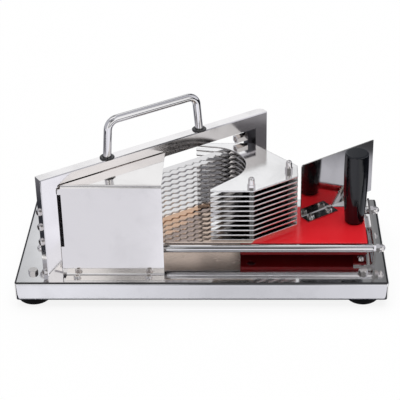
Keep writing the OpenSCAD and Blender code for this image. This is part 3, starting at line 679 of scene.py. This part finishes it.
def blade_tree():
    """Geometry tree of a bank of scalloped blades."""
    tree = bpy.data.node_groups.new("Scalloped blades", "GeometryNodeTree")
    kinds = {
        "NodeSocketFloat": (
            "Length", "Width", "Thickness", "Pitch", "Depth", "Ground", "Land", "Plain", "Spacing",
        ),
        "NodeSocketInt": ("Stations", "Count"),
        "NodeSocketVector": ("Place", "Turn"),
        "NodeSocketMaterial": ("Material",),
    }
    for kind, labels in kinds.items():
        for label in labels:
            socket(tree, label, kind)
    socket(tree, "Geometry", "NodeSocketGeometry", way="OUTPUT")
    given = node(tree, "NodeGroupInput").outputs
    end = node(tree, "NodeGroupOutput")
    link(tree, stacked(tree, given, one_blade(tree, given)), end.inputs["Geometry"])
    return tree


# Operators


class SLICER_OT_stage(bpy.types.Operator):
    """Makes the floor, the room that the metal mirrors, the light and the camera"""

    bl_idname = "slicer.stage"
    bl_label = "Stage"

    def execute(self, context):
        look = context.scene.slicer_stage
        context.scene.view_settings.view_transform = "Standard"
        self.surroundings(context, look)
        self.floor(context, look)
        self.front_cards(look)
        self.side_cards(look)
        self.back_cards(look)
        self.walls(look)
        self.ceilings(look)
        self.lamp(context, look)
        self.camera(context, look)
        return {"FINISHED"}

    @staticmethod
    def unscattered(tree, path):
        """1 for rays that no matt surface has scattered yet."""
        return math_node(tree, "LESS_THAN", path.outputs["Diffuse Depth"], 0.5)

    def seen(self, tree):
        """1 for rays that look at the background, straight or in metal and glass."""
        path = node(tree, "ShaderNodeLightPath")
        direct = math_node(tree, "MAXIMUM", path.outputs["Is Camera Ray"], path.outputs["Is Glossy Ray"])
        looks = math_node(tree, "MAXIMUM", direct, path.outputs["Is Transmission Ray"])
        return math_node(tree, "MULTIPLY", looks, self.unscattered(tree, path))

    def surroundings(self, context, look):
        """A white world that looks brighter than it lights."""
        world = bpy.data.worlds.new("White studio")
        world.use_nodes = True
        tree = world.node_tree
        back = tree.nodes["Background"]
        back.inputs["Color"].default_value = (1.0, 1.0, 1.0, 1.0)
        link(tree, map_range(tree, self.seen(tree), look.fill, 1.0), back.inputs["Strength"])
        context.scene.world = world

    def floor(self, context, look):
        """A white floor that keeps the object's shadow."""
        bpy.ops.mesh.primitive_plane_add(size=FLOOR_SIZE, location=(0.0, 0.0, 0.0))
        plane = context.object
        plane.name = "floor"
        mat, tree, shader = plain_material("Pale floor")
        seen = self.seen(tree)
        shadowed = (1.0 - look.glow,) * 3
        link(tree, mix(tree, seen, (look.bounce,) * 3, shadowed), shader.inputs["Base Color"])
        link(tree, mix(tree, seen, (0.0,) * 3, (look.glow,) * 3), shader.inputs["Emission Color"])
        shader.inputs["Emission Strength"].default_value = 1.0
        shader.inputs["Roughness"].default_value = 0.9
        shader.inputs["Specular IOR Level"].default_value = 0.0
        plane.data.materials.append(mat)

    def front_cards(self, look):
        """Cards on the floor before the object, and a dark card along its edge that paints the floor's
        contact shadow into the skirt's reflection.
        """
        pale = ((MID_LEFT, 1.0), (-0.09, 1.0), (-0.04, 1.2), (0.12, 1.2), (0.20, 1.07), (MID_RIGHT, 1.07))
        self.strip("front_card", ROOM_FRONT, SKIRT_Y, fade(look.card, pale))
        cool = (
            (MID_LEFT, 0.95), (-0.16, 0.94), (-0.06, 0.80), (0.02, 0.70),
            (0.08, 0.70), (0.16, 0.78), (MID_RIGHT, 0.88),
        )
        self.strip("skirt_card", SKIRT_Y, SEAM_Y, fade(SKIRT_WHITE, cool))
        # Painted shadow: a dark card at the pan's foot stands in for the floor's contact shadow, seen as a
        # dark line at the skirt's bottom
        self.even("seam_cloth", look.flag, NEAR_LEFT, NEAR_RIGHT, SEAM_Y, EDGE_Y)

    def side_cards(self, look):
        """Cards and cloths on the floor at the object's two ends."""
        dim = shaded(look.side, look.dim)
        self.even("left_front", look.card, ROOM_LEFT, MID_LEFT, ROOM_FRONT, CORNER_Y)
        self.even("left_card", shaded(look.card, look.near), MID_LEFT, NEAR_LEFT, SEAM_Y, SIDE_Y)
        self.even("left_far_cloth", look.flag, ROOM_LEFT, MID_LEFT, CORNER_Y, SIDE_Y)
        self.even("left_cloth", dim, ROOM_LEFT, FAR_LEFT, SIDE_Y, ROOM_BACK)
        self.even("left_back", dim, FAR_LEFT, NEAR_LEFT, REAR_Y, ROOM_BACK)
        darker = ((FAR_LEFT, dim), (-0.44, look.wall), (-0.37, look.flag), (NEAR_LEFT, look.flag))
        self.strip("left_near", SIDE_Y, REAR_Y, darker)

        bright = ((MID_RIGHT, look.sky), (0.38, look.sky), (0.43, look.flag), (ROOM_RIGHT, look.flag))
        self.strip("right_front", ROOM_FRONT, GAP_Y, bright)
        grey = ((NEAR_RIGHT, look.side), (0.31, look.side), (0.34, look.flag), (ROOM_RIGHT, look.flag))
        self.strip("right_gap", GAP_Y, SIDE_Y, grey)
        fading = ((NEAR_RIGHT, 1.417), (0.34, 1.542), (0.385, 1.083), (0.41, 0.188), (FAR_RIGHT, 0.094))
        self.strip("right_card", SIDE_Y, GUARD_Y, fade(look.side, fading))
        self.even("right_cloth", look.flag, FAR_RIGHT, ROOM_RIGHT, SIDE_Y, ROOM_BACK)

    def back_cards(self, look):
        """Cards and cloths on the floor behind the object."""
        self.even("back_near", look.side, NEAR_LEFT, POST_X, REAR_Y, BEHIND_Y)
        self.even("back_near_right", look.wall, POST_X, NEAR_RIGHT, REAR_Y, BEHIND_Y)
        self.even("back_cloth", look.side, NEAR_LEFT, NEAR_RIGHT, BEHIND_Y, ROOM_BACK)
        self.even("back_right_cloth", look.flag, NEAR_RIGHT, FAR_RIGHT, GUARD_Y, ROOM_BACK)

    def walls(self, look):
        """Walls round the object, in bands of their own tones."""
        grey = ((ROOM_FRONT, look.side), (ROOM_BACK, look.side))
        self.side_wall("left_wall", ROOM_LEFT, 0.0, ROOM_HIGH, grey)
        full = ((ROOM_FRONT, 1.0), (-0.56, 1.0))
        pane = ((ROOM_FRONT, 1.0), (-1.0, 1.0), (-0.82, 0.85), (-0.66, 0.66), (-0.56, 0.58))
        beyond = ((-0.46, look.flag), (-0.28, look.flag), (-0.18, look.card), (ROOM_BACK, look.side))
        bands = (
            ("right_low", 0.0, SILL, full),
            ("right_window", SILL, LINTEL, pane),
            ("right_high", LINTEL, ROOM_HIGH, full),
        )
        for name, low, high, shares in bands:
            self.side_wall(name, ROOM_RIGHT, low, high, (*fade(look.sky, shares), *beyond))

        ends = (
            (ROOM_LEFT, 0.95), (-0.39, 0.95), (-0.26, 0.55), (-0.12, 0.12),
            (0.22, 0.12), (0.36, 0.9), (ROOM_RIGHT, 0.9),
        )
        self.cross_wall("front_low", ROOM_FRONT, 0.0, FRONT_SPLIT, fade(look.sky, ends))
        streaks = (
            (ROOM_LEFT, 0.95), (-0.41, 0.95), (-0.36, 0.22), (-0.29, 0.18),
            (-0.25, 0.9), (-0.20, 0.9), (-0.15, 0.2), (ROOM_RIGHT, 0.2),
        )
        self.cross_wall("front_high", ROOM_FRONT, FRONT_SPLIT, ROOM_HIGH, fade(look.sky, streaks))

        dim = shaded(look.side, look.dim)
        self.cross_wall("back_low", ROOM_BACK, 0.0, PANEL_LOW, ((ROOM_LEFT, dim), (ROOM_RIGHT, dim)))
        panel = (
            (ROOM_LEFT, 0.68), (-0.56, 0.68), (-0.46, 0.96), (-0.10, 0.96), (0.06, 0.94),
            (0.20, 0.85), (0.34, 0.30), (0.5, 0.12), (ROOM_RIGHT, 0.12),
        )
        self.cross_wall("back_panel", ROOM_BACK, PANEL_LOW, PANEL_HIGH, fade(PANEL_WHITE, panel))
        lit = (
            (ROOM_LEFT, look.flag), (-0.40, look.flag), (-0.28, look.sky),
            (0.10, look.sky), (0.22, look.flag), (ROOM_RIGHT, look.flag),
        )
        self.cross_wall("back_high", ROOM_BACK, PANEL_HIGH, ROOM_HIGH, lit)

    def ceilings(self, look):
        """The ceiling, bright over the object, and its grey part at the right."""
        overhead = (
            (ROOM_FRONT, look.flag), (-1.8, look.flag), (-1.6, look.side), (-1.2, look.side),
            (-1.0, look.wall), (-0.6, look.wall), (-0.45, look.sky), (0.8, look.sky),
            (1.1, look.wall), (ROOM_BACK, look.wall),
        )
        self.ceiling("ceiling", ROOM_LEFT, CEILING_X, overhead)
        grey = ((ROOM_FRONT, look.side), (ROOM_BACK, look.side))
        self.ceiling("ceiling_right", CEILING_X, ROOM_RIGHT, grey)

    def even(self, name, tone, x0, x1, y0, y1):
        """A card on the floor, of one tone."""
        self.strip(name, y0, y1, ((x0, tone), (x1, tone)))

    def strip(self, name, y0, y1, stops):
        """A card on the floor whose tone runs through stops along x."""
        self.ladder(name, [((x, y0, CARD_Z), (x, y1, CARD_Z), tone) for x, tone in stops])

    def ceiling(self, name, x0, x1, stops):
        """A card overhead whose tone runs through stops along y."""
        self.ladder(name, [((x0, y, ROOM_HIGH), (x1, y, ROOM_HIGH), tone) for y, tone in stops])

    def cross_wall(self, name, y, low, high, stops):
        """A wall across the room whose tone runs through stops along x."""
        self.ladder(name, [((x, y, low), (x, y, high), tone) for x, tone in stops])

    def side_wall(self, name, x, low, high, stops):
        """A wall at the room's side whose tone runs through stops along y."""
        self.ladder(name, [((x, y, low), (x, y, high), tone) for y, tone in stops])

    def ladder(self, name, rungs):
        """A card made of rungs, each with two ends and a tone, that only reflections see."""
        points = [end for a, b, _ in rungs for end in (a, b)]
        faces = [(2 * i, 2 * i + 2, 2 * i + 3, 2 * i + 1) for i in range(len(rungs) - 1)]
        mesh = bpy.data.meshes.new(name)
        mesh.from_pydata(points, [], faces)
        tones = mesh.color_attributes.new("Tone", "FLOAT_COLOR", "POINT")
        for i, (_, _, tone) in enumerate(rungs):
            for k in (2 * i, 2 * i + 1):
                tones.data[k].color = (*tone, 1.0)
        mesh.materials.append(bpy.data.materials.get("Card") or self.card_finish())
        made = bpy.data.objects.new(name, mesh)
        bpy.context.scene.collection.objects.link(made)
        for ray in ("camera", "diffuse", "transmission", "volume_scatter", "shadow"):
            setattr(made, "visible_" + ray, False)

    def card_finish(self):
        """Shows a card's own tone in the metal, and a dark one to scattered light."""
        mat, tree, shader = plain_material("Card")
        shader.inputs["Base Color"].default_value = (0.0, 0.0, 0.0, 1.0)
        shader.inputs["Specular IOR Level"].default_value = 0.0
        shader.inputs["Emission Strength"].default_value = 1.0
        stored = node(tree, "ShaderNodeAttribute", attribute_name="Tone")
        shown = self.unscattered(tree, node(tree, "ShaderNodeLightPath"))
        matt = (bpy.context.scene.slicer_stage.matt,) * 3
        link(tree, mix(tree, shown, matt, stored.outputs["Color"]), shader.inputs["Emission Color"])
        return mat

    def lamp(self, context, look):
        """The soft light from overhead."""
        data = bpy.data.lights.new("soft_key", "SUN")
        data.angle = look.softness
        data.energy = look.key
        lamp = bpy.data.objects.new("soft_key", data)
        lamp.visible_glossy = False
        context.scene.collection.objects.link(lamp)

    def camera(self, context, look):
        """The photograph's point of view."""
        data = bpy.data.cameras.new("photo_view")
        data.sensor_width = look.sensor
        data.lens = look.lens
        data.shift_x = look.shift
        data.clip_start, data.clip_end = 0.01, 50.0
        eye = bpy.data.objects.new("photo_view", data)
        eye.location = look.eye
        eye.rotation_euler = (look.tilt, 0.0, 0.0)
        context.scene.collection.objects.link(eye)
        context.scene.camera = eye


class SLICER_OT_sheet(bpy.types.Operator):
    """Finishes the folded sheet: pan, entry guard, tray and hand guard"""

    bl_idname = "slicer.sheet"
    bl_label = "Polished sheet"

    # Share of the pan's colour that stays, by how far the sheet looks up: painted dark reflections along the
    # sheet's bend
    PAINTED_BEND_SHADE = ((0.0, 1.0), (0.45, 1.0), (0.62, 0.9), (0.76, 0.12), (0.93, 0.08), (0.99, 0.12), (1.0, 1.0))

    # What the tray's sides and underside add to its roughness
    TRAY_DULL = 0.22

    def execute(self, context):
        look = context.scene.slicer_steel
        dress(steel("Polished sheet", look.sheet), "entry_guard")
        # Painted shade: the hand guard's darker tint shades the red board in its mirror
        dress(steel("Hand guard sheet", look.guard), "hand_guard")
        # Partly painted reflection: the tray's tan tint stands in for warm reflections seen in and under it
        tray = steel("Tray sheet", look.tray, haze=0.02)
        tree = tray.node_tree
        roughen(tray, map_range(tree, upward(tree), self.TRAY_DULL, 0.0, *LEVEL))
        dress(tray, "tomato_tray")
        pan = steel("Pan sheet", look.pan)
        # Painted dark reflections: the pan's colour is darkened in its bend to stand in for the dark lines it
        # mirrors there
        shade_by(pan, self.painted_bend_lines(pan.node_tree))
        dress(pan, "base_pan")
        return {"FINISHED"}

    def painted_bend_lines(self, tree):
        """Painted dark reflections: dark lines where the sheet turns from upright to level."""
        ramp = node(tree, "ShaderNodeValToRGB")
        points = ramp.color_ramp.elements
        while len(points) < len(self.PAINTED_BEND_SHADE):
            points.new(1.0)
        for point, (place, amount) in zip(points, self.PAINTED_BEND_SHADE):
            point.position = place
            point.color = (amount, amount, amount, 1.0)
        link(tree, upward(tree), ramp.inputs["Fac"])
        return ramp.outputs["Color"]


class SLICER_OT_frame(bpy.types.Operator):
    """Finishes the blade frame, the brackets and the blade holders"""

    bl_idname = "slicer.frame"
    bl_label = "Frame and brackets"

    def execute(self, context):
        look = context.scene.slicer_steel
        dress(steel("Polished bar", look.bar, ALONG_FRAME), "blade_frame")
        dress(steel("Bracket steel", look.bar, ALONG_Y), "left_rail_bracket", "right_rail_bracket")
        dress(steel("Dark holder", look.holder, ALONG_Z), "left_blade_holder", "right_blade_holder")
        return {"FINISHED"}


class SLICER_OT_rods(bpy.types.Operator):
    """Finishes the rails, the carry handle, its collars and the spacers"""

    bl_idname = "slicer.rods"
    bl_label = "Bright rods"

    def execute(self, context):
        look = context.scene.slicer_steel
        dress(steel("Bright rail", look.rod), "front_rail", "rear_rail")
        dress(steel("Bright handle", look.rod, ALONG_FRAME), "carry_handle")
        dress(steel("Dark collar", shaded(look.rod, look.collar)), "handle_collars")
        # Painted shade: the spacers' steel is darkened for the shaded gaps between the plates
        dress(steel("Spacer tube", shaded(look.rod, look.spacer_shade), ALONG_Z), "plate_spacers")
        return {"FINISHED"}


class SLICER_OT_blades(bpy.types.Operator):
    """Makes the bank of scalloped blades with their ground edges"""

    bl_idname = "slicer.blades"
    bl_label = "Scalloped blades"

    def execute(self, context):
        look = context.scene.slicer_blades
        low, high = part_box(BLADES[0])
        next_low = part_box(BLADES[1])[0]
        cos, sin = math.cos(FRAME_TURN), math.sin(FRAME_TURN)
        place = (
            FRAME_CORNER[0] + BLADE_START * cos - BLADE_INSET * sin,
            FRAME_CORNER[1] + BLADE_START * sin + BLADE_INSET * cos,
            (low.z + high.z) / 2.0,
        )
        values = {
            "Length": BLADE_LENGTH,
            "Width": BLADE_WIDTH,
            "Thickness": high.z - low.z,
            "Pitch": look.pitch,
            "Depth": look.depth,
            "Ground": look.ground,
            "Land": look.land,
            "Plain": look.plain,
            "Stations": STATIONS_PER_SCALLOP * int(BLADE_LENGTH / look.pitch) + 1,
            "Count": look.count,
            "Spacing": next_low.z - low.z,
            "Place": place,
            "Turn": (0.0, 0.0, FRAME_TURN),
            "Material": self.finish(context.scene.slicer_steel),
        }
        mesh = mesh_from_tree(blade_tree(), values, "blade_bank")
        clean_mesh(mesh, SHARP_DEG)
        bank = add_piece("blade_bank", mesh, "base")
        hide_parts(*BLADES)
        return {"FINISHED"}

    @staticmethod
    def finish(look):
        """Blade steel made near black at the very edge: painted shade for the shadowed gap under each blade.
        """
        mat = steel("Blade steel", look.blade, ALONG_FRAME, haze=0.03)
        tree, shader = mat.node_tree, shader_of(mat)
        stored = node(tree, "ShaderNodeAttribute", attribute_name="Lip")
        shaded_lip = map_range(tree, stored.outputs["Fac"], 0.0, 1.0, start=0.70, stop=0.92)
        link(tree, mix(tree, shaded_lip, source_of(shader, "Base Color"), look.shaded_lip), shader.inputs["Base Color"])
        return mat


class SLICER_OT_pusher(bpy.types.Operator):
    """Finishes the stack of notched pusher plates"""

    bl_idname = "slicer.pusher"
    bl_label = "Pusher plates"

    # How metallic the cut edges are, and what they add to the roughness
    EDGE_METAL = 0.75
    EDGE_ROUGH = 0.12

    # Upward shares of the normal between which the painted shade on the undersides fades out
    UNDERSIDE = (-0.9, -0.5)

    def execute(self, context):
        look = context.scene.slicer_steel
        mat = steel("Pusher plate", look.plate, edge=look.edge)
        tree = mat.node_tree
        up = upward(tree)
        level = math_node(tree, "ABSOLUTE", up)
        link(tree, map_range(tree, level, self.EDGE_METAL, 1.0, *LEVEL), shader_of(mat).inputs["Metallic"])
        roughen(mat, map_range(tree, level, self.EDGE_ROUGH, 0.0, *LEVEL))
        # Painted shade: undersides darker, for the dark gaps between the plates
        shade_by(mat, map_range(tree, up, look.underside_shade, 1.0, *self.UNDERSIDE))
        dress(mat, *PLATES)
        return {"FINISHED"}


class SLICER_OT_fasteners(bpy.types.Operator):
    """Finishes the screws, nuts, bolts and pins"""

    bl_idname = "slicer.fasteners"
    bl_label = "Fasteners"

    def execute(self, context):
        look = context.scene.slicer_steel
        slots = {s["node"]: s["material_slot"] for s in frame["record"]["subparts"]}
        names = [n for n, slot in slots.items() if slot == "fasteners"]
        if not names:
            raise RuntimeError("the record lists no fasteners")
        dress(steel("Fastener steel", look.fastener), *names)
        dress(steel("Polished nut", look.nut), "cap_nuts", "rail_nuts", "holder_nuts")
        return {"FINISHED"}


class SLICER_OT_carriage(bpy.types.Operator):
    """Finishes the red slide board"""

    bl_idname = "slicer.carriage"
    bl_label = "Carriage"

    def execute(self, context):
        look = context.scene.slicer_plastic
        board = moulded("Red board", look.carriage, relief=0.10, lighter=1.12, lift=0.006, edge=look.edge)
        dress(board, "carriage")
        return {"FINISHED"}


class SLICER_OT_grip(bpy.types.Operator):
    """Finishes the black grip"""

    bl_idname = "slicer.grip"
    bl_label = "Grip"

    def execute(self, context):
        look = context.scene.slicer_plastic
        dress(moulded("Black grip", look.grip, relief=0.04, lighter=1.5, edge=look.edge), "grip")
        return {"FINISHED"}


class SLICER_OT_feet(bpy.types.Operator):
    """Finishes the rubber feet"""

    bl_idname = "slicer.feet"
    bl_label = "Rubber feet"

    def execute(self, context):
        look = context.scene.slicer_plastic
        rubber = moulded("Rubber", look.rubber, relief=0.30, lighter=1.6)
        shader_of(rubber).inputs["Specular IOR Level"].default_value = look.gloss
        dress(rubber, "rubber_feet")
        return {"FINISHED"}


OPERATORS = (
    SLICER_OT_stage,
    SLICER_OT_sheet,
    SLICER_OT_frame,
    SLICER_OT_rods,
    SLICER_OT_blades,
    SLICER_OT_pusher,
    SLICER_OT_fasteners,
    SLICER_OT_carriage,
    SLICER_OT_grip,
    SLICER_OT_feet,
)


class SLICER_PT_panel(bpy.types.Panel):
    """Lists the slicer's finishes and the operators that make them"""

    bl_idname = "SLICER_PT_panel"
    bl_label = "Tomato slicer"
    bl_space_type = "VIEW_3D"
    bl_region_type = "UI"
    bl_category = "Slicer"

    def draw(self, context):
        for name, group in GROUPS.items():
            box = self.layout.box()
            box.label(text=group.__doc__)
            for field in group.__annotations__:
                box.prop(getattr(context.scene, name), field)
        for operator in OPERATORS:
            self.layout.operator(operator.bl_idname)


CLASSES = (*GROUPS.values(), *OPERATORS, SLICER_PT_panel)


def register():
    """Adds the classes and the scene's settings."""
    for made in CLASSES:
        bpy.utils.register_class(made)
    for name, group in GROUPS.items():
        setattr(bpy.types.Scene, name, PointerProperty(type=group))


def unregister():
    """Takes the classes and the scene's settings away."""
    for name in GROUPS:
        delattr(bpy.types.Scene, name)
    for made in reversed(CLASSES):
        bpy.utils.unregister_class(made)


def main():
    """Builds the looks in order."""
    register()
    for operator in OPERATORS:
        group, name = operator.bl_idname.split(".")
        getattr(getattr(bpy.ops, group), name)()


if __name__ == "__main__":
    main()
